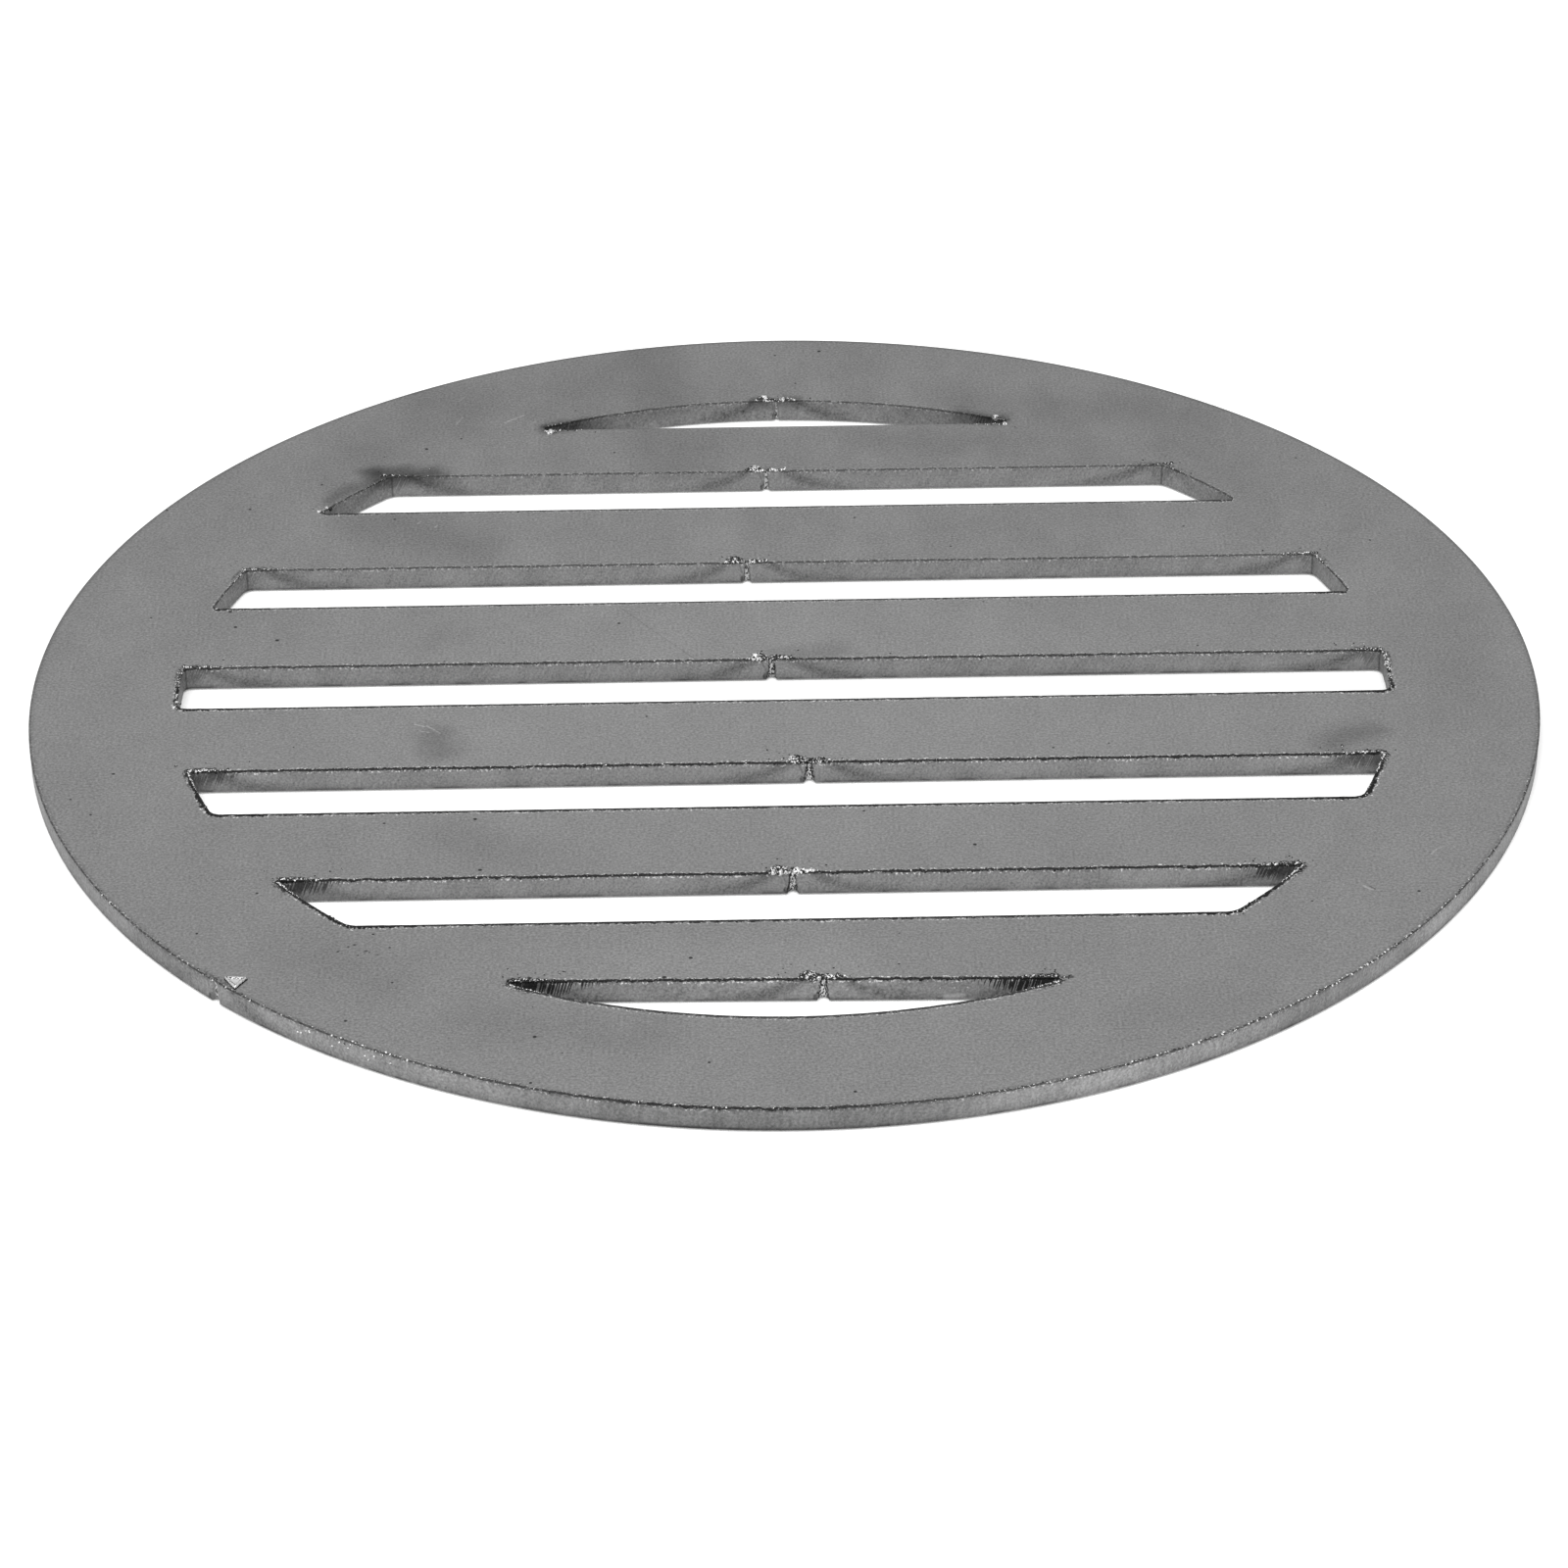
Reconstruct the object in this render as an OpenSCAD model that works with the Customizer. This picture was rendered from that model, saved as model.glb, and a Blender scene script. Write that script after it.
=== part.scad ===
// Round floor drain grate: one flat steel plate, cut right through by a torch with seven parallel openings.
// Five are straight slots whose ends follow one circle; the first and last are segments of that circle.
// Millimetres. The origin is the centre of the underside, +Z is up and the openings run along X.
// The torch side is the underside, so the slag that it blew through is stuck to the top face beside the cuts.

/* [Plate] */
// Diameter of the plate
plate_d = 190.5; // [188:0.5:200]
// Thickness of the plate
plate_t = 3.04; // [2:0.01:6]

/* [Openings] */
// Distance from the middle of one slot to the middle of the next
slot_pitch = 25.5; // [24:0.1:26]
// Width of each slot
slot_w = 10.2; // [8:0.1:12]
// Width of the solid rim outside the openings
rim_w = 18.5; // [15:0.5:20]
// Width of the bar between the last slot and the segment at each end
end_bar_w = 12.9; // [12:0.1:14]
// Length of straight edge that the rounding of a blunt corner uses up
blunt_run = 1; // [0.5:0.1:1.5]
// Radius inside a sharp corner of a slot, which is half the width of the cut
sharp_r = 0.3; // [0.2:0.05:0.5]
// Radius inside the narrow tips of the two segments
tip_r = 0.5; // [0.3:0.05:0.8]
// How far the front segment is turned about the plate's centre, in degrees
front_turn = -0.9; // [-2:0.1:2]

/* [Pierce grooves] */
// Radius of a pierce groove at the underside, where the torch burst in
pierce_r_low = 0.85; // [0.5:0.05:1.2]
// Radius of a pierce groove at the top face
pierce_r_top = 0.35; // [0.2:0.05:0.45]
// Direction from the centre to the pierce groove in the rim, in degrees
rim_pierce_angle = -135; // [-180:1:180]

/* [Slag] */
// Base radius of a slag bead of ordinary size
bead_r = 0.5; // [0.3:0.05:0.6]
// Height of that bead above the top face
bead_h = 0.32; // [0.2:0.01:0.4]
// Number of small beads along each beaded stretch of the rim's top edge
rim_beads = 14; // [6:1:16]
// Height of the triangular flake beside the rim's pierce groove
flake_h = 0.5; // [0.3:0.05:0.8]

/* [Hidden] */
$fn = 120;
steel = "#8a8a8a";
slag = "#a6a6a6";

plate_r = plate_d / 2;
inner_r = plate_r - rim_w;
end_edge = 2 * slot_pitch + slot_w / 2 + end_bar_w;
slot_rows = [2, 1, 0, -1, -2];

// How far each opening's pierce groove lies from the middle, from the back opening to the front one
pierce_x = [0.2, -1.5, -4.4, -1.5, 2.8, 0.3, 4.5];
// How far each opening is turned about the plate's centre, in the same order
turns = [0, 0, 0, 0, 0, 0, front_turn];
// How deep a groove's axis lies behind the wall that it opens from
pierce_inset = 0.1;
// The far walls that the torch pierced beside: the arc at the back, then each straight far edge
pierce_walls = [inner_r, for (row = slot_rows) row * slot_pitch + slot_w / 2, -end_edge];

// The lower and upper edge of each opening, with the arc itself as the outer edge of a segment
edges = [
    [end_edge, plate_r],
    for (row = slot_rows) [row * slot_pitch - slot_w / 2, row * slot_pitch + slot_w / 2],
    [-plate_r, -end_edge]
];

// Where a straight edge at height y meets the inner circle
function corner_x(y) = sqrt(inner_r * inner_r - y * y);

// The opening lies on the inward side (+1 or -1 along Y) of an edge at y. Its corner is blunt if that
// side is also towards the middle of the plate.
function is_blunt(y, inward) = y * inward < 0;
function corner_r(y, inward) =
    is_blunt(y, inward) ? blunt_run / tan((90 - asin(abs(y) / inner_r)) / 2)
    : abs(y) == end_edge ? tip_r : sharp_r;

// How far a round runs past the two edges that it joins, so that it crosses them cleanly
round_cross = 0.004;

// Centre of the round inside a corner, which touches both the straight edge and the inner circle
function round_centre(y, inward) =
    let (r = corner_r(y, inward), cy = y + inward * r)
    [sqrt(pow(inner_r - r, 2) - cy * cy), cy];

// What a round leaves standing in the corner at the +X end of an edge
module corner_fill(y, inward) {
    r = corner_r(y, inward);
    centre = round_centre(y, inward);
    to_edge = [0, -inward * 12 * r];
    to_arc = centre / norm(centre) * 12 * r;
    difference() {
        polygon([centre, centre + to_edge, centre + to_edge + to_arc, centre + to_arc]);
        translate(centre) circle(r + round_cross);
    }
}

// One opening, between the edges at low and high, with its corners rounded
module opening_outline(low, high) {
    difference() {
        intersection() {
            circle(inner_r);
            translate([-plate_r, low]) square([plate_d, high - low]);
        }
        for (side = [0, 1]) {
            mirror([side, 0]) {
                if (low > -inner_r) corner_fill(low, 1);
                if (high < inner_r) corner_fill(high, -1);
            }
        }
    }
}

// The groove that the torch left where it burst through, wide at the underside
module pierce_groove() {
    translate([0, 0, -0.01]) cylinder(h = plate_t + 0.02, r1 = pierce_r_low, r2 = pierce_r_top);
}

// A drop of slag frozen on the top face: a spherical cap of base radius r and height h
module bead(r, h) {
    ball_r = (r * r + h * h) / (2 * h);
    translate([0, 0, plate_t]) {
        intersection() {
            translate([0, 0, h - ball_r]) sphere(ball_r);
            translate([-2 * r, -2 * r, 0]) cube([4 * r, 4 * r, 2 * h]);
        }
    }
}

// The plate seen from above: the disc with its seven openings
module plate_outline() {
    difference() {
        circle(plate_r);
        for (i = [0 : len(edges) - 1]) rotate(turns[i]) opening_outline(edges[i][0], edges[i][1]);
    }
}

// The whole grate: the rim, the bars between the openings and the pierce grooves are one piece of steel
module grate_plate() {
    color(steel) difference() {
        linear_extrude(plate_t) plate_outline();
        for (i = [0 : len(edges) - 1]) {
            rotate(turns[i]) translate([pierce_x[i], pierce_walls[i] + pierce_inset, 0]) pierce_groove();
        }
        rotate(rim_pierce_angle) translate([plate_r, 0, 0]) pierce_groove();
    }
}

// Slag heaped beside each pierce groove: a large bead and a smaller one to its left, one to its right
module pierce_dross() {
    color(slag) for (i = [0 : len(edges) - 1]) {
        rotate(turns[i]) translate([pierce_x[i], pierce_walls[i], 0]) {
            translate([-1.4, 1.15 * bead_r, 0]) bead(1.1 * bead_r, 1.2 * bead_h);
            translate([-2.5, 0.9 * bead_r, 0]) bead(0.8 * bead_r, 0.8 * bead_h);
            translate([1.1, 1.05 * bead_r, 0]) bead(0.9 * bead_r, bead_h);
        }
    }
}

// Slag beside both far corners of every opening, getting smaller towards the middle of the edge
module corner_dross() {
    color(slag) for (i = [0 : len(edges) - 1], side = [-1, 1]) {
        is_back_arc = edges[i][1] > inner_r;
        wall = is_back_arc ? edges[i][0] : edges[i][1];
        outward = is_back_arc ? -1 : 1;
        for (step = [0 : 3]) {
            size = 1 - 0.18 * step;
            reach = corner_x(wall) - 0.6 - 1.25 * step;
            rotate(turns[i]) translate([side * reach, wall + outward * 1.1 * bead_r * size, 0]) {
                bead(bead_r * size, bead_h * size);
            }
        }
    }
}

// Small beads on two stretches of the rim's top edge, and the flake beside the rim's pierce groove
module rim_spatter() {
    color(slag) {
        for (start = [-162, -68], i = [0 : rim_beads - 1]) {
            rotate(start + i * 24 / rim_beads) translate([plate_r - 0.4, 0, 0]) bead(0.25, 0.16);
        }
        rotate(rim_pierce_angle) translate([plate_r - 0.2, 0.8, plate_t]) {
            linear_extrude(flake_h) polygon([[0, 0], [0, 2.4], [-2.1, 1.6]]);
        }
    }
}

grate_plate();
pierce_dross();
corner_dross();
rim_spatter();
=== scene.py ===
"""Looks of the floor drain grate: a round steel plate with seven openings that a torch cut from below.

The plate is one closed mesh, whose cut walls are swept along their outlines. Slag is heaped beside the cuts.
Lengths are millimetres in the row frame, and become metres when a mesh is made.
"""

import math
from itertools import product

import bmesh
import bpy
import numpy as np
from mathutils import Matrix, Vector, noise
from mathutils.geometry import delaunay_2d_cdt


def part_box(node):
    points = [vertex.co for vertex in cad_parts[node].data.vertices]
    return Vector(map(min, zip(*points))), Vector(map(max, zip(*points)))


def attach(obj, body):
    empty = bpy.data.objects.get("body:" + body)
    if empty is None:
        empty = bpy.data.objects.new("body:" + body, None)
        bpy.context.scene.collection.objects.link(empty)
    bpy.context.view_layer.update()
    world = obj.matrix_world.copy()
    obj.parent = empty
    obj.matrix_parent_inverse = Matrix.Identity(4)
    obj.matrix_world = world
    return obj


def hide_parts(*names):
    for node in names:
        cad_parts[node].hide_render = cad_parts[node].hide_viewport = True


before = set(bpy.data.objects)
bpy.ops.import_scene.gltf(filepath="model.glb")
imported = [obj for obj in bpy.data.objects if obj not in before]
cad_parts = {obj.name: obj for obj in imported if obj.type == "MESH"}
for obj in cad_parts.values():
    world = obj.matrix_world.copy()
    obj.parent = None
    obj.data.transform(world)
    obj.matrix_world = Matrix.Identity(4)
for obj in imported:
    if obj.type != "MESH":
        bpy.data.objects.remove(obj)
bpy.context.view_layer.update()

MM = 0.001

# ---- Plate and openings, as in the CAD ----
plate_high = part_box("grate_plate")[1]
PLATE_R = plate_high.x / MM
PLATE_T = plate_high.z / MM
RIM_W = 18.5
INNER_R = PLATE_R - RIM_W
SLOT_PITCH = 25.5
SLOT_W = 10.2
END_BAR_W = 12.9
END_EDGE = 2 * SLOT_PITCH + SLOT_W / 2 + END_BAR_W
BLUNT_RUN = 1
SHARP_R = 0.3
TIP_R = 0.5
SLOT_ROWS = [2, 1, 0, -1, -2]
# Lower and upper edge of each opening, from the back one to the front one
SLOT_EDGES = [(row * SLOT_PITCH - SLOT_W / 2, row * SLOT_PITCH + SLOT_W / 2) for row in SLOT_ROWS]
OPENINGS = [(END_EDGE, PLATE_R), *SLOT_EDGES, (-PLATE_R, -END_EDGE)]
# How far each opening is turned about the plate's centre, in the same order
TURNS = [0, 0, 0, 0, 0, 0, math.radians(-0.9)]

# ---- Pierce grooves, in the same order, and one in the rim ----
PIERCE_X = [0.2, -1.5, -4.4, -1.5, 2.8, 0.3, 4.5]
RIM_PIERCE_ANGLE = math.radians(-135)
GROOVE_R_LOW = 0.85
GROOVE_R_TOP = 0.35
GROOVE_INSET = 0.1
# Size of each groove as a share of the CAD's, and the rim's last
GROOVE_SIZES = [0.4, 0.55, 0.6, 0.75, 0.8, 0.75, 0.8, 0.8]

# ---- What the torch left on the walls, with painted shade in its drag-line zones and under its burrs, in the same order ----
# Length of the drag-line zone at each far corner, and how dark the painted shade in it is
HATCH_LENGTH = [9, 3.5, 3, 5, 9, 10, 14]
HATCH_DEPTH = [0.6, 0.35, 0.33, 0.42, 0.62, 0.82, 1]
# Strength of the dark line under each far and near edge, a painted shadow of the burr; it also sizes the
# burr and other marks, and the far one the slag
FAR_LINE = [0.55, 0.55, 0.65, 0.9, 1.15, 1.2, 1.2]
NEAR_LINE = [0, 0.5, 0.6, 0.8, 0.95, 1, 0.8]
WALL_SHARE = [1, 1, 0.96, 0.95, 1, 1, 1.13]

# The same marks on the rim, in the order in which Cut takes them
RIM_MARKS = (1, 0, 0.55, 0.1, 1, GROOVE_SIZES[-1])
# Direction from the centre to the middle of the rim's darker stretch, and its spread, in degrees
RIM_DARK_ANGLE = -95
RIM_DARK_SPREAD = 15
# Other patches on the rim's wall: direction and half width in degrees, and change of tone
RIM_PATCHES = [(-142, 10, -0.2), (-66, 14, 0.3), (-50, 16, -0.12), (-34, 10, 0.2)]

# Large bright drops at the back opening's tips: x, how far behind its straight edge, and radius
BACK_LUMPS = [(-31, -0.9, 0.5), (30.4, 1.6, 0.42), (31.6, -0.3, 0.36)]

# Crumbs at tips of each opening: x, y and radius
TIP_CRUMBS = [
    [],
    [(-61.6, 46.4, 0.3), (-60.6, 47.4, 0.26)],
    [(-73.5, 20.4, 0.18)],
    [(-77, -4.6, 0.26), (-76.8, -3.4, 0.2)],
    [],
    [],
    [(32.5, -69, 0.1)],
]
# Length of end arc above each blunt near corner that carries black crumbs
BLUNT_REACH = 4

# Stray drops on the face beside each opening's far corners
STRAY_DROPS = [3, 4, 5, 9, 11, 12, 10]

# ---- Mesh spacing ----
PATH_STEP = 0.02
FINE_STEP = 0.15
GROOVE_STEP = 0.07
COARSE_STEP = 0.75
FACE_GRID = 4
# Shift of that grid off the plate's lines of symmetry
GRID_SHIFT = (0.31, 0.17)
# Points closer than this become one
MERGE_GAP = 1e-7

# Size of the burr and of the overhang under it: the least, and how much more at a strong dark line
BURR_LEAST = 0.02
BURR_MORE = 0.05
# Waviness of the cut walls: depth, size of the waves and noise seed
WAVES = [(0.012, 6, 21), (0.008, 0.7, 5.3)]

# Rows of the wall's profile, from the top face to the underside: offset into the opening, how much further
# back on a near edge, height, and shares of the burr's rise and overhang
PROFILE = [
    (-1, 0, PLATE_T, 0, 0),
    (-0.40, 0.14, PLATE_T, 0, 0),
    (-0.14, 0.24, PLATE_T, 0.45, 0),
    (-0.05, 0, PLATE_T, 1, 0.3),
    (0.02, 0, PLATE_T - 0.06, 0.3, 1),
    (0, 0, PLATE_T - 0.15, 0, 0.6),
    (-0.05, 0, PLATE_T - 0.26, 0, -0.5),
    (-0.02, 0, PLATE_T - 0.42, 0, -0.2),
    *[(0, 0, share * PLATE_T, 0, 0) for share in (0.76, 0.62, 0.48, 0.34, 0.2, 0.09)],
    (-0.02, 0, 0.03 * PLATE_T, 0, 0),
    (-0.08, 0, 0, 0, 0),
    (-0.60, 0, 0, 0, 0),
]
# How far each row belongs to the wall rather than to a face
WALL_ROWS = [0, 0, 0, 0.5, 1, 1, 1, 1, *[1] * 6, 1, 0.5, 0]


def noise_along(points, size, seed):
    """Smooth noise from about -1 to 1 at each point, with bumps of about that size."""
    return np.array([noise.noise(Vector((x / size + seed, y / size, z / size))) for x, y, z in points])


def smooth_step(value, low, high):
    """0 below low, 1 above high, and a smooth rise between them."""
    share = np.clip((value - low) / (high - low), 0, 1)
    return share * share * (3 - 2 * share)


# ---- Outlines ----


def turned(points, angle):
    """Points turned about the plate's centre."""
    cosine, sine = math.cos(angle), math.sin(angle)
    return np.asarray(points) @ np.array([[cosine, sine], [-sine, cosine]])


def polar(radius, angle):
    return radius * math.cos(angle), radius * math.sin(angle)


def corner_x(y):
    """Where a straight edge at height y meets the inner circle."""
    return math.sqrt(INNER_R**2 - y**2)


def corner_round(y, inward):
    """Centre and radius of the round in an edge's +X corner, with the opening on the inward side."""
    blunt = y * inward < 0
    half_angle = (math.pi / 2 - math.asin(abs(y) / INNER_R)) / 2
    sharp_radius = TIP_R if abs(y) == END_EDGE else SHARP_R
    radius = BLUNT_RUN / math.tan(half_angle) if blunt else sharp_radius
    centre_y = y + inward * radius
    centre_x = math.sqrt((INNER_R - radius) ** 2 - centre_y**2)
    return (centre_x, centre_y), radius


def right_half_arcs(low, high):
    """The arcs of an opening's +X half, anticlockwise: centre, radius, start angle and end angle."""
    quarter = math.pi / 2
    arcs = []
    start, end = -quarter, quarter
    if low > -INNER_R:
        centre, radius = corner_round(low, 1)
        start = math.atan2(centre[1], centre[0])
        arcs.append((centre, radius, -quarter, start))
    if high < INNER_R:
        centre, radius = corner_round(high, -1)
        end = math.atan2(centre[1], centre[0])
        arcs.append((centre, radius, end, quarter))
    arcs.insert(1 if low > -INNER_R else 0, ((0, 0), INNER_R, start, end))
    return arcs


def arc_points(centre, radius, start, end):
    count = max(2, math.ceil(abs(end - start) * radius / PATH_STEP))
    angles = np.linspace(start, end, count + 1)
    return np.column_stack([centre[0] + radius * np.cos(angles), centre[1] + radius * np.sin(angles)])


def opening_path(low, high):
    """Points anticlockwise round the opening between the edges at low and high."""
    right = right_half_arcs(low, high)
    left = [((-c[0], c[1]), r, math.pi - end, math.pi - start) for c, r, start, end in reversed(right)]
    parts = []
    for arc in right + left:
        points = arc_points(*arc)
        if parts:
            parts.append(line_points(parts[-1][-1], points[0]))
        parts.append(points)
    parts.append(line_points(parts[-1][-1], parts[0][0]))
    return without_repeats(np.vstack(parts))


def line_points(start, end):
    count = max(1, math.ceil(np.linalg.norm(end - start) / PATH_STEP))
    return np.linspace(start, end, count + 1)


def without_repeats(points):
    """Drops each point that is where the next one is, round the closed path."""
    gaps = np.linalg.norm(np.roll(points, -1, axis=0) - points, axis=1)
    return points[gaps > 0.1 * PATH_STEP]


def rim_path():
    """Points clockwise round the plate, so that the void is on the left of every path."""
    return without_repeats(arc_points((0, 0), PLATE_R, 2 * math.pi, 0))


# ---- Cut walls ----


def closed(points):
    """The points of a path followed by its first one again."""
    return np.vstack([points, points[:1]])


def values_at(places, travel, values):
    """Pairs of numbers at places along a closed path, from the pairs at its points."""
    return np.column_stack([np.interp(places, travel, column) for column in closed(values).T])


class Cut:
    """A closed cut wall as columns along its path, with what the torch left at each and how strong the
    painted shade is there.
    """

    def __init__(self, path, groove, corners, blunt_corners, marks):
        hatch_length, hatch, far_line, near_line, wall_share, groove_size = marks
        gaps = np.linalg.norm(np.diff(closed(path), axis=0), axis=1)
        travel = np.concatenate([[0], np.cumsum(gaps)])
        self.length = travel[-1]
        self.groove_at = travel[self.nearest(path, groove)]
        self.corners_at = [travel[self.nearest(path, corner)] for corner in corners]
        places = self.place_columns(travel)
        self.xy = values_at(places, travel, path)
        along = np.roll(path, -1, axis=0) - np.roll(path, 1, axis=0)
        along /= np.linalg.norm(along, axis=1)[:, None]
        tangent = values_at(places, travel, along)
        tangent /= np.linalg.norm(tangent, axis=1)[:, None]
        self.into_void = np.column_stack([-tangent[:, 1], tangent[:, 0]])
        self.from_groove = self.signed_gap(places, self.groove_at)
        self.from_corner = self.corner_gap(places, self.corners_at)
        blunt_at = [travel[self.nearest(path, corner)] for corner in blunt_corners]
        near_blunt = smooth_step(-self.corner_gap(places, blunt_at), -9, -1.5)
        self.hatch = hatch * smooth_step(-self.into_void[:, 1], 0.3, 0.8)
        self.near = smooth_step(self.into_void[:, 1], -0.45, 0.35)
        self.far = smooth_step(-self.into_void[:, 1], 0.5, 0.9)
        self.line = far_line + (near_line * (1 + 0.8 * near_blunt) - far_line) * self.near
        self.hatch_length = np.full(len(places), hatch_length)
        self.wall_share = np.full(len(places), wall_share)
        self.groove_size = np.full(len(places), groove_size)

    @staticmethod
    def nearest(path, point):
        return int(np.argmin(np.linalg.norm(path - np.array(point), axis=1)))

    def signed_gap(self, places, mark):
        """Distance along the wall from a mark, positive onwards along the path."""
        return (places - mark + self.length / 2) % self.length - self.length / 2

    def corner_gap(self, places, corners_at):
        if not corners_at:
            return np.full(len(places), self.length)
        return np.min([np.abs(self.signed_gap(places, corner)) for corner in corners_at], axis=0)

    def place_columns(self, travel):
        """Columns that are closer together near the groove and the far corners."""
        groove = np.abs(self.signed_gap(travel, self.groove_at))
        near = np.minimum(groove, self.corner_gap(travel, self.corners_at))
        step = FINE_STEP + (COARSE_STEP - FINE_STEP) * smooth_step(near, 3, 9)
        step = np.where(groove < 1.2, GROOVE_STEP, step)
        count_so_far = np.concatenate([[0], np.cumsum(np.diff(travel) / step[:-1])])
        count = round(count_so_far[-1])
        return np.interp(np.arange(count) * count_so_far[-1] / count, count_so_far, travel)


def groove_depth(gap, height):
    """How deep the pierce groove cuts behind the wall at that gap from its middle."""
    share = np.clip(height / PLATE_T, 0, 1)
    radius = GROOVE_R_LOW + (GROOVE_R_TOP - GROOVE_R_LOW) * share
    inside = np.clip(1 - (gap / radius) ** 2, 0, 1)
    return (radius + GROOVE_INSET) * np.sqrt(inside)


def tip_x(y, inward):
    """How far the rounded corner at the +X end of an edge reaches."""
    centre, radius = corner_round(y, inward)
    return centre[0] + radius


def edge_corners(y):
    """Both ends of the straight edge at height y."""
    return [(side * corner_x(y), y) for side in (-1, 1)]


def make_cuts():
    cuts = []
    for i, (low, high) in enumerate(OPENINGS):
        groove = turned((PIERCE_X[i], min(high, INNER_R)), TURNS[i])
        corners = turned(edge_corners(low if high > INNER_R else high), TURNS[i])
        blunt_corners = edge_corners(low) if low > -INNER_R and high < INNER_R else []
        path = turned(opening_path(low, high), TURNS[i])
        marks = (HATCH_LENGTH[i], HATCH_DEPTH[i], FAR_LINE[i], NEAR_LINE[i], WALL_SHARE[i], GROOVE_SIZES[i])
        cuts.append(Cut(path, groove, corners, blunt_corners, marks))
    rim = Cut(rim_path(), polar(PLATE_R, RIM_PIERCE_ANGLE), [], [], RIM_MARKS)
    from_dark_stretch = np.degrees(np.arctan2(rim.xy[:, 1], rim.xy[:, 0])) - RIM_DARK_ANGLE
    rim.line = rim.line + 0.6 * np.exp(-((from_dark_stretch / RIM_DARK_SPREAD) ** 2))
    cuts.append(rim)
    return cuts


def wall_grid(cut):
    """The wall's points, with one row round the cut for each row of the profile."""
    base = np.column_stack([cut.xy, np.zeros(len(cut.xy))])
    near_torch = 1 - smooth_step(np.minimum(np.abs(cut.from_groove), cut.from_corner), 0.5, 4)
    roughness = 0.5 + 0.5 * noise_along(base, 0.8, 3.1)
    rise = (BURR_LEAST + BURR_MORE * cut.line * roughness) * (1 + 0.8 * near_torch)
    overhang = BURR_LEAST + BURR_MORE * cut.line * (0.5 + 0.5 * noise_along(base, 0.45, 9.7))
    rows = []
    for offset, spread, height, rise_share, overhang_share in PROFILE:
        tall = height + rise_share * rise
        points = np.column_stack([cut.xy, tall])
        out = offset - spread * cut.near + overhang_share * overhang
        if WALL_ROWS[len(rows)] == 1:
            for depth, size, seed in WAVES:
                out = out + depth * noise_along(points, size, seed)
        out = out - cut.groove_size * groove_depth(cut.from_groove / cut.groove_size, tall)
        rows.append(np.column_stack([cut.xy + cut.into_void * out[:, None], tall]))
    return np.stack(rows)


def across_edge(cut):
    """How far each point of the wall's grid is past the top edge. Below 0 it is on the face."""
    rows = []
    for offset, spread, height, _, _ in PROFILE:
        on_face = height == PLATE_T
        rows.append(offset - spread * cut.near if on_face else np.full(len(cut.xy), PLATE_T - height))
    return np.stack(rows)


# ---- Plate mesh ----


def inside_loop(points, loop):
    """Whether each point is inside a closed loop, by counting the edges above it."""
    inside = np.zeros(len(points), bool)
    x, y = points[:, 0], points[:, 1]
    for (x1, y1), (x2, y2) in zip(loop, np.roll(loop, -1, axis=0)):
        crosses = (x1 > x) != (x2 > x)
        if crosses.any():
            at = np.where(crosses, y1 + (x - x1) * (y2 - y1) / np.where(x2 == x1, 1, x2 - x1), 0)
            inside ^= crosses & (at > y)
    return inside


def in_metal(points, loops):
    """Whether each point is inside the last loop, which is the rim's, and outside all the others."""
    metal = inside_loop(points, loops[-1])
    for loop in loops[:-1]:
        metal &= ~inside_loop(points, loop)
    return metal


def face_grid(loops):
    """Points spread over a face, clear of its edges."""
    steps = np.arange(-PLATE_R, PLATE_R, FACE_GRID)
    x, y = np.meshgrid(steps, steps)
    points = np.column_stack([x.ravel(), y.ravel()]) + GRID_SHIFT
    points = points[in_metal(points, loops)]
    edge = np.vstack(loops)[::3]
    gap = np.array([np.min(np.abs(edge - p).sum(axis=1)) for p in points])
    return points[gap > 0.4 * FACE_GRID]


def fill_face(loops, extra):
    """Triangles between the loops, as indices into the loops' points and then the extra ones."""
    points = np.vstack([*loops, extra])
    edges = []
    first = 0
    for loop in loops:
        edges += [(first + i, first + (i + 1) % len(loop)) for i in range(len(loop))]
        first += len(loop)
    result = delaunay_2d_cdt([Vector(p) for p in points], edges, [], 0, MERGE_GAP)
    source = [ids[0] for ids in result[3]]
    triangles = np.array([[source[v] for v in face] for face in result[2]])
    centres = points[triangles].mean(axis=1)
    triangles = triangles[in_metal(centres, loops)]
    a, b, c = (points[triangles[:, i]] for i in range(3))
    area = (b[:, 0] - a[:, 0]) * (c[:, 1] - a[:, 1]) - (b[:, 1] - a[:, 1]) * (c[:, 0] - a[:, 0])
    triangles[area < 0] = triangles[area < 0][:, ::-1]
    return triangles


def set_attribute(mesh, name, values):
    mesh.attributes.new(name, "FLOAT", "POINT").data.foreach_set("value", values.astype(np.float32))


def link_new(name, data):
    """A new object in the scene."""
    made = bpy.data.objects.new(name, data)
    bpy.context.scene.collection.objects.link(made)
    return made


def new_object(name, vertices, faces, material):
    """An object made of points in millimetres."""
    mesh = bpy.data.meshes.new(name)
    mesh.from_pydata((np.asarray(vertices) * MM).tolist(), [], faces)
    mesh.polygons.foreach_set("use_smooth", [True] * len(mesh.polygons))
    mesh.materials.append(material)
    mesh.update()
    return link_new(name, mesh)


# Attributes of the points out on the faces, where they aren't 0
FAR_AWAY = {"from_groove": 99, "from_corner": 99, "across": -9, "groove_size": 1}


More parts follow.
